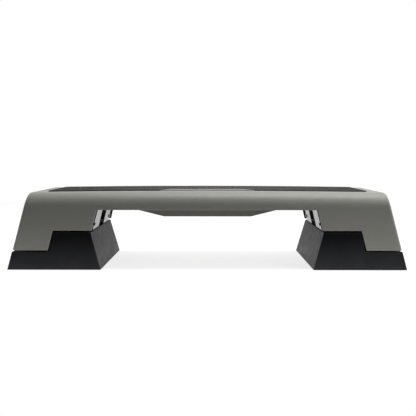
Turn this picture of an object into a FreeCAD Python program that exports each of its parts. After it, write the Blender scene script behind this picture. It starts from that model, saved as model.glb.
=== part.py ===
import FreeCAD, Part
import os

import Sketcher
from FreeCAD import Placement, Rotation, Vector

# Frame: millimetres, +Z up, X along the step, -Y towards the front, origin on the floor under the middle.
doc = FreeCAD.newDocument("aerobic_step")
sheet = doc.addObject("Spreadsheet::Sheet", "Sizes")

SIZES = (
    ("overall_length", 1020, "length over the risers at the floor"),
    ("overall_depth", 380, "depth over the risers at the floor"),
    ("end_slope", 0.25, "lean of the ends, run per unit of height"),
    ("side_slope", 0.093, "lean of the front and back, run per unit of height"),
    ("riser_reach", 49.5, "how far a riser runs in past the leg on it, at the floor"),
    ("riser_inner_slope", 0.28, "lean of a riser's inner side, run per unit of height"),
    ("riser_low", 47, "height of the riser's low seat"),
    ("riser_step", 49, "rise from the low seat to the tall seat"),
    ("riser_wall", 4, "riser wall thickness"),
    ("riser_round", 3, "rounding of the riser's edges"),
    ("riser_rib", 3, "thickness of the ribs inside a riser"),
    ("riser_rib_offset", 40, "ribs inside a riser, distance from the middle"),
    ("rim_lift", 1, "riser rim above the floor"),
    ("lug_diameter", 40, "locating lug on a riser seat"),
    ("lug_height", 22, "locating lug above its seat"),
    ("lug_wall", 3.5, "locating lug wall"),
    ("lug_side_inset", 95, "locating lugs, distance in from the front or back at the floor"),
    ("lug_clearance", 1, "gap all round between a lug and its socket"),
    ("deck_height", 149.4, "deck from the leg sole to the crest of its top"),
    ("deck_wall", 4, "deck wall thickness"),
    ("deck_top_wall", 4.5, "thickness of the deck's top"),
    ("crown_radius", 30000, "radius of the crown of the top"),
    ("edge_round", 40, "rounding along the front and back of the top"),
    ("end_round", 8, "rounding round the ends of the deck"),
    ("edge_break", 1.2, "rounding of the deck's lower edges"),
    ("sole_width", 91, "leg sole along X"),
    ("leg_width", 189.5, "whole leg along X"),
    ("rail_height", 47, "front and back rail below the crest"),
    ("notch_gap", 4, "gap between a tall seat and the leg above it"),
    ("notch_side_gap", 3, "gap beside the tall part of a riser"),
    ("foot_diameter", 30, "rubber foot"),
    ("foot_edge", 1.5, "bevel round the tread of a rubber foot"),
    ("foot_stem", 8, "stem of a rubber foot"),
    ("foot_stem_length", 9, "length of a rubber foot's stem"),
    ("foot_fit", 0.2, "gap all round between a stem and its hole"),
    ("stem_end_gap", 1, "gap above a stem in its hole"),
    ("foot_side_inset", 40, "rubber feet, distance in from the front or back at the floor"),
    ("deck_foot_height", 3, "rubber foot below the leg sole"),
    ("riser_foot_height", 3, "rubber foot below its boss in the riser"),
    ("riser_foot_inset_outer", 40, "outer riser feet, distance in from the outer end at the floor"),
    ("riser_foot_inset_inner", 54, "inner riser feet, distance in from the inner side at the floor"),
    ("riser_boss", 20, "boss that holds a riser foot"),
    ("mat_end_border", 32, "bare border between the mat and the end's rounding"),
    ("mat_side_border", 11.5, "bare border between the mat and the long rounding"),
    ("mat_thickness", 2.5, "rubber mat"),
    ("mat_corner", 14, "corner rounding of the mat"),
    ("glue_line", 0.1, "bond under the mat and the plate"),
    ("plate_front", 248, "plate in the mat, along its front edge"),
    ("plate_back", 206, "plate in the mat, along its back edge"),
    ("plate_depth", 64, "plate in the mat along Y"),
    ("plate_thickness", 2, "plate in the mat"),
    ("plate_corner", 12, "corner rounding of the plate"),
    ("plate_gap", 1.5, "groove between the plate and the mat"),
    ("cover_recess", 2.5, "leg cover behind the leg's inner edge"),
    ("cover_thickness", 3.5, "leg cover"),
    ("cover_rise", 12, "leg cover above the bottom of the rail"),
    ("cover_drop", 2, "leg cover below the underside of the leg's floor"),
    ("cover_side_gap", 38, "open gap between the leg cover and the leg's front or back wall"),
    ("cover_slot", 87, "open slot in the leg cover along Y"),
    ("cover_bridge", 15, "band of the leg cover over its slot"),
    ("floor_setback", 18, "edge of the leg's floor behind the leg's inner edge"),
    ("floor_web", 1, "strip of the leg's floor left along each wall"),
    ("prop_inset", 2, "prop behind the leg cover, distance in from the cover's edge"),
    ("prop_depth", 16, "prop behind the leg cover, along Y"),
    ("prop_thickness", 5, "prop behind the leg cover, along X"),
    ("prop_foot", 24, "foot of a prop on the leg's floor, along X"),
    ("prop_foot_height", 12, "foot of a prop above the leg's floor"),
    ("keel_end_gap", 12.4, "gap between the end of the fish-bellied keel and the leg"),
    ("keel_flat", 240, "flat of the keel's lower edge"),
    ("keel_slope", 0.25, "rise of the keel's lower edge towards its ends"),
    ("keel_drop", 76, "keel below the crest"),
    ("keel_width", 52, "keel along Y"),
    ("keel_wall", 4, "keel wall"),
    ("rib_inset", 6, "outer cross ribs, distance in from the keel's ends"),
    ("rib_thickness", 3.5, "ribs of the underframe"),
    ("rib_height", 22, "ribs of the underframe"),
    ("frame_gap", 0.5, "gap between the underframe and the start of the long rounding"),
    ("stringer_inset", 43, "middle stringers, distance in from the underframe's edge"),
    ("post_diameter", 16, "screw post of the underframe"),
    ("post_floor", 7, "floor of a screw post"),
    ("boss_diameter", 9, "deck boss inside a screw post"),
    ("fit_gap", 0.3, "gap between parts that seat in one another"),
    ("screw_shank", 4, "screw shank"),
    ("screw_head", 8, "screw head"),
    ("screw_head_height", 2.4, "screw head"),
    ("frame_screw_length", 16, "screw through the underframe"),
    ("cover_screw_length", 8, "screw through a leg cover"),
    ("screw_slot_width", 1.2, "cross recess in a screw head"),
    ("screw_slot_length", 5, "cross recess in a screw head"),
    ("screw_slot_depth", 1.4, "cross recess in a screw head"),
)

for row, (alias, value, note) in enumerate(SIZES, 1):
    sheet.set(f"A{row}", note)
    sheet.set(f"B{row}", str(value))
    sheet.setAlias(f"B{row}", alias)
doc.recompute()

# How far cutting tools run past what they cut.
OVERRUN = 6

# How near a place or a lean must be to count as the same.
NEAR = 0.01

# How far from a limit an edge must lie to be picked or passed over there.
MARGIN = 1

# Heights, as expressions of the sheet.
LOW_SEAT = "Sizes.riser_low"
TALL_SEAT = "(Sizes.riser_low + Sizes.riser_step)"
SOLE = "(Sizes.riser_low + Sizes.deck_foot_height)"
SHELF = f"({TALL_SEAT} + Sizes.notch_gap)"
CREST = f"({SOLE} + Sizes.deck_height)"
RAIL = f"({CREST} - Sizes.rail_height)"
CEILING = f"({CREST} - Sizes.deck_top_wall)"
KEEL_BOTTOM = f"({CREST} - Sizes.keel_drop)"
COVER_TOP = f"({RAIL} + Sizes.cover_rise)"
COVER_BOTTOM = f"({SHELF} - Sizes.cover_drop)"


def end_at(z):
    return f"(Sizes.overall_length / 2 - Sizes.end_slope * ({z}))"


def side_at(z):
    return f"(Sizes.overall_depth / 2 - Sizes.side_slope * ({z}))"


def sole_side_at(z):
    return f"({end_at(z)} - Sizes.sole_width)"


def leg_inner_at(z):
    return f"({end_at(z)} - Sizes.leg_width)"


def riser_inner_at(z):
    reach = "(Sizes.leg_width + Sizes.riser_reach)"
    return f"(Sizes.overall_length / 2 - {reach} + Sizes.riser_inner_slope * ({z}))"


def riser_step_at(z):
    return f"({sole_side_at(z)} - Sizes.notch_side_gap)"


# Places that several pieces share, as expressions of the sheet.
LOW_LUG_X = f"({end_at(SOLE)} - Sizes.sole_width / 2)"
TALL_LUG_X = f"(({leg_inner_at(SHELF)} + {sole_side_at(SHELF)}) / 2)"
LUG_Y = "(Sizes.overall_depth / 2 - Sizes.lug_side_inset)"
FOOT_Y = "(Sizes.overall_depth / 2 - Sizes.foot_side_inset)"
FLAT_HALF = f"({side_at(CREST)} - Sizes.edge_round)"
FRAME_HALF = f"({FLAT_HALF} - Sizes.frame_gap)"
STRINGER_Y = f"({FRAME_HALF} - Sizes.stringer_inset)"
KEEL_HALF_LENGTH = f"({leg_inner_at(RAIL)} - Sizes.keel_end_gap)"
RIB_STEPS = 3
RIB_PITCH = f"(({KEEL_HALF_LENGTH} - Sizes.rib_inset) / {RIB_STEPS})"
MAT_HALF_LENGTH = f"({end_at(CREST)} - Sizes.end_round - Sizes.mat_end_border)"
MAT_HALF_DEPTH = f"({FLAT_HALF} - Sizes.mat_side_border)"


def value_of(expression):
    return float(sheet.evalExpression(expression))


def bind(obj, **expressions):
    for name, expression in expressions.items():
        obj.setExpression(name.replace("__", "."), str(expression))
    return obj


def place(obj, x="0", y="0", z="0"):
    return bind(obj, Placement__Base__x=x, Placement__Base__y=y, Placement__Base__z=z)


def box(name, x_from, x_to, y_from, y_to, z_from, z_to):
    solid = doc.addObject("Part::Box", name)
    bind(solid, Length=f"({x_to}) - ({x_from})", Width=f"({y_to}) - ({y_from})")
    bind(solid, Height=f"({z_to}) - ({z_from})")
    return place(solid, x_from, y_from, z_from)


def rod(name, x, y, z_from, z_to, diameter):
    solid = doc.addObject("Part::Cylinder", name)
    bind(solid, Radius=f"({diameter}) / 2", Height=f"({z_to}) - ({z_from})")
    return place(solid, x, y, z_from)


def octagon(name, x, y, z_from, z_to, diameter):
    """An eight-sided post inside a circle; its flats meet the crowned ceiling cleanly at any size."""
    solid = doc.addObject("Part::Prism", name)
    solid.Polygon = 8
    bind(solid, Circumradius=f"({diameter}) / 2", Height=f"({z_to}) - ({z_from})")
    return place(solid, x, y, z_from)


def wedge_sizes(solid, z_from, z_to, x_low, x_high, y_low, y_high):
    """Bind a wedge that stands on Z; its x and y limits are functions of the height."""
    bind(solid, Ymin=z_from, Ymax=z_to)
    bind(solid, Xmin=x_low(z_from), Xmax=x_high(z_from), X2min=x_low(z_to), X2max=x_high(z_to))
    bind(solid, Zmin=f"-({y_high(z_from)})", Zmax=f"-({y_low(z_from)})")
    bind(solid, Z2min=f"-({y_high(z_to)})", Z2max=f"-({y_low(z_to)})")
    return solid


# Turns a wedge's own Y, its height, up to Z.
UPRIGHT = Placement(Vector(0, 0, 0), Rotation(Vector(1, 0, 0), 90))


def wedge(name, *limits):
    solid = doc.addObject("Part::Wedge", name)
    wedge_sizes(solid, *limits)
    solid.Placement = UPRIGHT
    return solid


def fuse(name, *shapes):
    joined = doc.addObject("Part::MultiFuse", name)
    joined.Shapes = list(shapes)
    return joined


def cut(name, base, *tools):
    result = doc.addObject("Part::Cut", name)
    result.Base = base
    result.Tool = tools[0] if len(tools) == 1 else fuse(f"{name}_tools", *tools)
    return result


def common(name, first, second):
    result = doc.addObject("Part::Common", name)
    result.Base = first
    result.Tool = second
    return result


def mirrored(name, source):
    copy = doc.addObject("Part::Mirroring", name)
    copy.Source = source
    copy.Normal = Vector(1, 0, 0)
    return copy


def group(name, *shapes):
    together = doc.addObject("Part::Compound", name)
    together.Links = list(shapes)
    return together


def origin_plane(body, role):
    return next(feature for feature in body.Origin.OriginFeatures if feature.Role == role)


def trace(sketch, points):
    """Close a polygon through (x, y) expressions and bind each corner to them."""
    corners = [Vector(value_of(x), value_of(y), 0) for x, y in points]
    count = len(points)
    for index in range(count):
        sketch.addGeometry(Part.LineSegment(corners[index], corners[(index + 1) % count]))
    for index in range(count):
        sketch.addConstraint(Sketcher.Constraint("Coincident", index, 2, (index + 1) % count, 1))
    for index, (x, y) in enumerate(points):
        corner = corners[index]
        for kind, expression, value in (("DistanceX", x, corner.x), ("DistanceY", y, corner.y)):
            number = sketch.addConstraint(Sketcher.Constraint(kind, -1, 1, index, 1, value))
            sketch.setExpression(f"Constraints[{number}]", str(expression))
    return sketch


def across(points):
    """Complete an outline given for +X with its mirror image at -X."""
    return list(points) + [(f"-({x})", y) for x, y in reversed(points)]


def profile(name, points, y_from, y_to):
    """Extrude an outline drawn in X and Z along Y."""
    sketch = doc.addObject("Sketcher::SketchObject", f"{name}_outline")
    sketch.Placement = UPRIGHT
    trace(sketch, points)
    solid = doc.addObject("Part::Extrusion", name)
    solid.Base = sketch
    solid.DirMode = "Custom"
    solid.Dir = Vector(0, 1, 0)
    solid.Solid = True
    return bind(solid, LengthFwd=y_to, LengthRev=f"-({y_from})")


def edge_names(shape, wanted):
    return [f"Edge{index}" for index, edge in enumerate(shape.Edges, 1) if wanted(edge)]


def rounded(body, name, base, edges, radius):
    fillet = body.newObject("PartDesign::Fillet", name)
    fillet.Base = (base, edges)
    fillet.Refine = False
    bind(fillet, Radius=radius)
    doc.recompute()
    return fillet


def is_upright(edge):
    return edge.BoundBox.ZLength > 0.9 * edge.Length


def crown_roll(name, extra):
    """The roll of the crown's radius, lying along Y, whose highest line is the crest plus extra."""
    roll = doc.addObject("Part::Cylinder", name)
    roll.Placement = Placement(Vector(0, 0, 0), Rotation(Vector(1, 0, 0), -90))
    bind(roll, Radius=f"Sizes.crown_radius + ({extra})", Height="Sizes.overall_depth")
    return place(roll, y="-Sizes.overall_depth / 2", z=f"{CREST} - Sizes.crown_radius")


def crowned_block(name, z_from, inset, drop):
    """The deck's outer form, or its core where inset and drop are wall thicknesses."""
    body = doc.addObject("PartDesign::Body", name)
    block = body.newObject("PartDesign::AdditiveWedge", f"{name}_wedge")
    block.AttachmentSupport = [(origin_plane(body, "XY_Plane"), "")]
    block.MapMode = "FlatFace"
    block.AttachmentOffset = UPRIGHT
    wedge_sizes(
        block,
        z_from,
        f"({CREST} + {OVERRUN})",
        lambda z: f"-({end_at(z)} - ({inset}))",
        lambda z: f"({end_at(z)} - ({inset}))",
        lambda z: f"-({side_at(z)} - ({inset}))",
        lambda z: f"({side_at(z)} - ({inset}))",
    )
    sketch = body.newObject("Sketcher::SketchObject", f"{name}_crown_outline")
    sketch.AttachmentSupport = [(origin_plane(body, "XZ_Plane"), "")]
    sketch.MapMode = "FlatFace"
    half = value_of("Sizes.overall_length / 2")
    radius = value_of(f"Sizes.crown_radius - ({drop})")
    middle = value_of(f"{CREST} - Sizes.crown_radius")
    above = value_of(f"{CREST} + 2 * {OVERRUN}")
    shoulder = middle + (radius**2 - half**2) ** 0.5
    sketch.addGeometry(Part.LineSegment(Vector(half, shoulder, 0), Vector(half, above, 0)))
    sketch.addGeometry(Part.LineSegment(Vector(half, above, 0), Vector(-half, above, 0)))
    sketch.addGeometry(Part.LineSegment(Vector(-half, above, 0), Vector(-half, shoulder, 0)))
    ends = Vector(half, shoulder, 0), Vector(-half, shoulder, 0)
    sketch.addGeometry(Part.Arc(ends[0], Vector(0, middle + radius, 0), ends[1]))
    for first, end, second, start in ((0, 2, 1, 1), (1, 2, 2, 1), (0, 1, 3, 1), (2, 2, 3, 2)):
        sketch.addConstraint(Sketcher.Constraint("Coincident", first, end, second, start))
    sketch.addConstraint(Sketcher.Constraint("Vertical", 0))
    sketch.addConstraint(Sketcher.Constraint("Vertical", 2))
    sketch.addConstraint(Sketcher.Constraint("Horizontal", 1))
    sketch.addConstraint(Sketcher.Constraint("PointOnObject", 3, 3, -2))
    bound = (
        (Sketcher.Constraint("DistanceX", -1, 1, 0, 2, half), "Sizes.overall_length / 2"),
        (Sketcher.Constraint("DistanceX", 1, 2, -1, 1, half), "Sizes.overall_length / 2"),
        (Sketcher.Constraint("DistanceY", -1, 1, 0, 2, above), f"{CREST} + 2 * {OVERRUN}"),
        (Sketcher.Constraint("Radius", 3, radius), f"Sizes.crown_radius - ({drop})"),
        (Sketcher.Constraint("DistanceY", 3, 3, -1, 1, -middle), f"Sizes.crown_radius - {CREST}"),
    )
    for constraint, expression in bound:
        sketch.setExpression(f"Constraints[{sketch.addConstraint(constraint)}]", expression)
    crown = body.newObject("PartDesign::Pocket", f"{name}_crown")
    crown.Profile = sketch
    crown.Type = "ThroughAll"
    crown.Midplane = True
    doc.recompute()
    top = crown.Shape.BoundBox.ZMax
    long_edges = edge_names(
        crown.Shape, lambda edge: edge.BoundBox.ZMax > top - MARGIN and edge.BoundBox.XLength > half
    )
    rounded(body, f"{name}_long_round", crown, long_edges, f"Sizes.edge_round - ({inset})")
    return body


def both_ways(y):
    """A position and its mirror image, for pairs at the front and back."""
    return (("front", f"-({y})"), ("back", f"({y})"))


# Deck: a crowned box with leaning ends, hollowed from below, with stepped legs.
deck_block = crowned_block("deck_block", SOLE, "0", "0")
under_sole = f"({SOLE} - {OVERRUN})"
leg_floor = f"({SHELF} + Sizes.deck_wall)"
whole_core = crowned_block(
    "whole_core",
    f"({SOLE} + Sizes.deck_wall)",
    "Sizes.deck_wall",
    "Sizes.deck_top_wall",
)
between_soles = profile(
    "between_soles",
    across(
        [
            (f"({sole_side_at(under_sole)} + Sizes.deck_wall)", under_sole),
            (f"({sole_side_at(leg_floor)} + Sizes.deck_wall)", leg_floor),
        ]
    ),
    "-Sizes.overall_depth / 2",
    "Sizes.overall_depth / 2",
)
deck_core = cut("deck_core", whole_core, between_soles)
gap = profile(
    "gap_between_legs",
    across(
        [
            (sole_side_at(under_sole), under_sole),
            (sole_side_at(SHELF), SHELF),
            (leg_inner_at(SHELF), SHELF),
            (leg_inner_at(RAIL), RAIL),
        ]
    ),
    "-Sizes.overall_depth / 2",
    "Sizes.overall_depth / 2",
)

# The leg's floor stops short of the leg cover.
floor_cut = wedge(
    "right_floor_cut",
    f"({SHELF} - {OVERRUN})",
    f"({leg_floor} + {OVERRUN})",
    lambda z: f"({leg_inner_at(z)} - {OVERRUN})",
    lambda z: f"({leg_inner_at(z)} + Sizes.floor_setback)",
    lambda z: f"-({side_at(z)} - Sizes.deck_wall - Sizes.floor_web)",
    lambda z: f"({side_at(z)} - Sizes.deck_wall - Sizes.floor_web)",
)
left_floor_cut = mirrored("left_floor_cut", floor_cut)
deck_hollow = cut("deck_hollow", deck_block, deck_core, gap, floor_cut, left_floor_cut)


def cover_edge_at(z):
    return f"({side_at(z)} - Sizes.deck_wall - Sizes.cover_side_gap)"


def cover_face_at(z):
    return f"({leg_inner_at(z)} + Sizes.cover_recess)"


def cover_back_at(z):
    return f"({cover_face_at(z)} + Sizes.cover_thickness)"


def prop_outer_at(z):
    return f"({cover_edge_at(z)} - Sizes.prop_inset)"


def prop_inner_at(z):
    return f"({prop_outer_at(z)} - Sizes.prop_depth)"


props = []
for where, y_low, y_high in (
    ("front", lambda z: f"-{prop_outer_at(z)}", lambda z: f"-{prop_inner_at(z)}"),
    ("back", prop_inner_at, prop_outer_at),
):
    for piece, z_to, reach in (
        ("prop", COVER_TOP, "Sizes.prop_thickness"),
        ("prop_foot", f"({leg_floor} + Sizes.prop_foot_height)", "Sizes.prop_foot"),
    ):
        back = lambda z: f"({cover_back_at(z)} + {reach})"
        sides = cover_back_at, back, y_low, y_high
        prop = wedge(f"right_{where}_{piece}", f"({SHELF} + Sizes.deck_wall / 2)", z_to, *sides)
        props += [prop, mirrored(f"left_{where}_{piece}", prop)]

post_places = [
    (f"{hand}_{run}_{where}", f"{sign} * {steps} * {RIB_PITCH}", y)
    for hand, sign in (("left", -1), ("right", 1))
    for run, steps in (("inner", 1), ("outer", RIB_STEPS))
    for where, y in both_ways(STRINGER_Y)
]
POST_BOTTOM = f"({CEILING} - Sizes.rib_height)"
BOSS_BOTTOM = f"({POST_BOTTOM} + Sizes.post_floor + Sizes.fit_gap)"
BOSS_ROOT = f"({CEILING} + Sizes.deck_top_wall / 2)"
SCREW_HOLE = "(Sizes.screw_shank + Sizes.fit_gap)"
bosses = []
deck_holes = []
for where, x, y in post_places:
    bosses.append(octagon(f"{where}_boss", x, y, BOSS_BOTTOM, BOSS_ROOT, "Sizes.boss_diameter"))
    pilot_top = f"({POST_BOTTOM} + Sizes.frame_screw_length + Sizes.fit_gap)"
    deck_holes.append(rod(f"{where}_pilot", x, y, f"({BOSS_BOTTOM} - {OVERRUN})", pilot_top, SCREW_HOLE))
socket = "Sizes.lug_diameter + 2 * Sizes.lug_clearance"
stem_hole = "Sizes.foot_stem + 2 * Sizes.foot_fit"
for hand, sign in (("left", -1), ("right", 1)):
    for where, y in both_ways(LUG_Y):
        for seat, x, z in (("low", LOW_LUG_X, SOLE), ("tall", TALL_LUG_X, SHELF)):
            name = f"{hand}_{where}_{seat}_socket"
            z_to = f"({z} + Sizes.deck_wall + {OVERRUN})"
            deck_holes.append(rod(name, f"{sign} * {x}", y, f"({z} - {OVERRUN})", z_to, socket))
    for where, y in both_ways(FOOT_Y):
        name = f"{hand}_{where}_stem_hole"
        z_to = f"({SOLE} + Sizes.deck_wall + {OVERRUN})"
        deck_holes.append(rod(name, f"{sign} * {LOW_LUG_X}", y, f"({SOLE} - {OVERRUN})", z_to, stem_hole))


def cover_hole(name, sign, y, z):
    """A hole square to a leg cover, through it and into the prop behind."""
    hole = doc.addObject("Part::Cylinder", name)
    bind(hole, Radius=f"{SCREW_HOLE} / 2")
    bind(hole, Height=f"Sizes.cover_screw_length + Sizes.fit_gap + {OVERRUN}")
    return lean_out(hole, sign, y, z, OVERRUN)


def lean_out(obj, sign, y, z, back_off):
    """Turn an upright object to point out through a leg cover's face at height z, from back_off before it."""
    obj.Placement = Placement(Vector(0, 0, 0), Rotation(Vector(0, sign, 0), 45))
    bind(obj, Placement__Rotation__Angle="90 deg - atan(Sizes.end_slope)")
    run = f"{back_off} * cos(atan(Sizes.end_slope))"
    rise = f"{back_off} * sin(atan(Sizes.end_slope))"
    return place(obj, f"{sign} * ({cover_face_at(z)} - {run})", y, f"{z} - {rise}")


cover_screw_places = [
    (f"{where}_{level}", f"{turn} * ({prop_outer_at(z)} - Sizes.prop_depth / 2)", z)
    for where, turn in (("front", -1), ("back", 1))
    for level, z in (
        ("low", f"({leg_floor} + Sizes.screw_head)"),
        ("high", f"({COVER_TOP} - Sizes.screw_head)"),
    )
]
cover_holes = {}
for hand, sign in (("left", -1), ("right", 1)):
    cover_holes[hand] = [cover_hole(f"{hand}_{name}_hole", sign, y, z) for name, y, z in cover_screw_places]
    deck_holes += cover_holes[hand]
deck_drilled = cut("deck_drilled", fuse("deck_fitted", deck_hollow, *props, *bosses), *deck_holes)

# The deck's ends and lower edges are rounded last, on the finished shell.
deck_shell = doc.addObject("PartDesign::Body", "deck_shell")
deck_shell.BaseFeature = deck_drilled
doc.recompute()


def end_rims(inset):
    """The edges round the deck's end faces, but not at the sole; the inner faces where inset is the wall."""
    shape = deck_shell.Tip.Shape
    rims = []
    for face in shape.Faces:
        middle = face.CenterOfMass
        if abs(abs(middle.x) - value_of(f"{end_at(middle.z)} - {inset}")) < NEAR:
            low = face.BoundBox.ZMin + MARGIN
            rims += [edge for edge in face.Edges if edge.BoundBox.ZMax > low]
    return edge_names(shape, lambda edge: any(edge.isSame(rim) for rim in rims))


def middle_normal(face):
    u_from, u_to, v_from, v_to = face.ParameterRange
    return face.normalAt((u_from + u_to) / 2, (v_from + v_to) / 2)


def lower_edges():
    """The edges where the deck's outer skin, which leans up, meets a sole, a notch or a rail's underside."""
    shape = deck_shell.Tip.Shape

    def wanted(edge):
        middle = edge.CenterOfMass
        on_side = abs(abs(middle.y) - value_of(side_at(middle.z))) < NEAR
        on_sole = edge.BoundBox.ZMax < value_of(SOLE) + NEAR
        if not on_side and not on_sole:
            return False
        lifts = [middle_normal(face).z for face in shape.ancestorsOfType(edge, Part.Face)]
        return min(lifts) < -NEAR and max(lifts) > NEAR

    return edge_names(shape, wanted)


rounded(deck_shell, "deck_end_round", deck_shell.Tip, end_rims("0"), "Sizes.end_round")
inner_rims = end_rims("Sizes.deck_wall")
rounded(deck_shell, "deck_end_core_round", deck_shell.Tip, inner_rims, "Sizes.end_round - Sizes.deck_wall")
rounded(deck_shell, "deck_edge_break", deck_shell.Tip, lower_edges(), "Sizes.edge_break")


# Underframe: a fish-bellied keel, cross ribs and stringers, screwed up to the deck's bosses.
def keel_outline(lift, shorter):
    half = f"({KEEL_HALF_LENGTH} - {shorter})"
    shoulder = f"({KEEL_BOTTOM} + {lift} + Sizes.keel_slope * ({half} - Sizes.keel_flat / 2))"
    return across(
        [
            ("Sizes.keel_flat / 2", f"({KEEL_BOTTOM} + {lift})"),
            (half, shoulder),
            (half, f"({CREST} + {OVERRUN})"),
        ]
    )


keel_half = "(Sizes.keel_width / 2)"
keel = profile("keel", keel_outline("0", "0"), f"-{keel_half}", keel_half)
keel_inside = f"({keel_half} - Sizes.keel_wall)"
hollow_outline = keel_outline("Sizes.keel_wall", "Sizes.keel_wall")
keel_hollow = profile("keel_hollow", hollow_outline, f"-{keel_inside}", keel_inside)
rib_reach = f"({RIB_STEPS} * {RIB_PITCH} + Sizes.rib_thickness / 2)"
rib_half = "(Sizes.rib_thickness / 2)"
frame_pieces = [keel]
for step in range(-RIB_STEPS, RIB_STEPS + 1):
    x = f"{step} * {RIB_PITCH}"
    faces = f"{x} - {rib_half}", f"{x} + {rib_half}"
    ends = f"-{FRAME_HALF}", FRAME_HALF
    frame_pieces.append(box(f"rib_{step + RIB_STEPS}", *faces, *ends, POST_BOTTOM, CREST))
for where, sign in (("front", -1), ("back", 1)):
    edge_y = f"{sign} * ({FRAME_HALF} - {rib_half})"
    for line, y in (("edge", edge_y), ("middle", f"{sign} * {STRINGER_Y}")):
        sides = f"{y} - {rib_half}", f"{y} + {rib_half}"
        name = f"{where}_{line}_stringer"
        frame_pieces.append(box(name, f"-{rib_reach}", rib_reach, *sides, POST_BOTTOM, CREST))
frame_holes = [keel_hollow]
for where, x, y in post_places:
    frame_pieces.append(rod(f"{where}_post", x, y, POST_BOTTOM, CREST, "Sizes.post_diameter"))
    cup_floor = f"({POST_BOTTOM} + Sizes.post_floor)"
    cup_width = "Sizes.boss_diameter + 2 * Sizes.fit_gap"
    cup = rod(f"{where}_cup", x, y, cup_floor, f"({CREST} + {OVERRUN})", cup_width)
    bore_from = f"({POST_BOTTOM} - {OVERRUN})"
    bore = rod(f"{where}_bore", x, y, bore_from, f"({cup_floor} + {NEAR})", SCREW_HOLE)
    frame_holes += [cup, bore]
frame_rough = cut("frame_rough", fuse("frame_members", *frame_pieces), *frame_holes)
frame_roof = crown_roll("frame_roof", "-Sizes.deck_top_wall - Sizes.glue_line")
underframe = common("underframe", frame_rough, frame_roof)


# Screws: pan heads with a cross recess, head below zero and shank up.
def screw_blank(name, length):
    head = rod(f"{name}_head", "0", "0", "-Sizes.screw_head_height", "0", "Sizes.screw_head")
    shank = rod(f"{name}_shank", "0", "0", "-Sizes.screw_head_height / 2", length, "Sizes.screw_shank")
    return fuse(name, head, shank)


reach = "Sizes.screw_slot_length / 2"
thin = "Sizes.screw_slot_width / 2"
recess_top = "Sizes.screw_slot_depth - Sizes.screw_head_height"
recess_bottom = f"(-Sizes.screw_head_height - {OVERRUN})"
recess = fuse(
    "screw_recess",
    box("recess_long", f"-{reach}", reach, f"-{thin}", thin, recess_bottom, recess_top),
    box("recess_wide", f"-{thin}", thin, f"-{reach}", reach, recess_bottom, recess_top),
)
frame_screw = screw_blank("frame_screw", "Sizes.frame_screw_length")
cover_screw = screw_blank("cover_screw", "Sizes.cover_screw_length")
frame_screws = [
    place(cut(f"{where}_frame_screw", frame_screw, recess), x, y, POST_BOTTOM) for where, x, y in post_places
]
underframe_screws = group("underframe_screws", *frame_screws)


# Leg covers: a slotted plate that closes the inner side of each leg.
leg_covers = []
cover_screws = []
cover_plate = wedge(
    "cover_plate",
    COVER_BOTTOM,
    COVER_TOP,
    cover_face_at,
    cover_back_at,
    lambda z: f"-{cover_edge_at(z)}",
    cover_edge_at,
)
slot_half = "(Sizes.cover_slot / 2)"
slot_ends = f"({leg_inner_at(SHELF)} - Sizes.leg_width)", f"({leg_inner_at(SHELF)} + Sizes.leg_width)"
slot_top = f"({COVER_TOP} - Sizes.cover_bridge)"
slot = box("cover_slot", *slot_ends, f"-{slot_half}", slot_half, f"({COVER_BOTTOM} - {OVERRUN})", slot_top)
slotted_plate = cut("slotted_plate", cover_plate, slot)
left_slotted_plate = mirrored("left_slotted_plate", slotted_plate)
for hand, sign, plate in (("left", -1, left_slotted_plate), ("right", 1, slotted_plate)):
    leg_covers.append(cut(f"{hand}_leg_cover", plate, *cover_holes[hand]))
    screws = []
    for where, y, z in cover_screw_places:
        screws.append(lean_out(cut(f"{hand}_{where}_screw", cover_screw, recess), sign, y, z, 0))
    cover_screws.append(group(f"{hand}_cover_screws", *screws))


# Mat and plate: sheets that follow the crown of the deck.
def sheet_prism(name, points, corners):
    """Pad an outline through the crown and round upright edges; corners pairs a radius with a test of x and y."""
    body = doc.addObject("PartDesign::Body", name)
    sketch = body.newObject("Sketcher::SketchObject", f"{name}_outline")
    sketch.AttachmentSupport = [(origin_plane(body, "XY_Plane"), "")]
    sketch.MapMode = "FlatFace"
    trace(sketch, points)
    last = body.newObject("PartDesign::Pad", f"{name}_pad")
    last.Profile = sketch
    bind(last, Length=f"{CREST} + {OVERRUN}")
    doc.recompute()
    for number, (radius, test) in enumerate(corners, 1):
        names = edge_names(
            last.Shape, lambda edge: is_upright(edge) and test(abs(edge.CenterOfMass.x), edge.CenterOfMass.y)
        )
        last = rounded(body, f"{name}_round_{number}", last, names, radius)
    return body


def crowned_sheet(name, prism, thickness):
    under = crown_roll(f"{name}_underside", "Sizes.glue_line")
    over = crown_roll(f"{name}_upperside", f"Sizes.glue_line + {thickness}")
    return cut(name, common(f"{name}_rough", prism, over), under)


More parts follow.
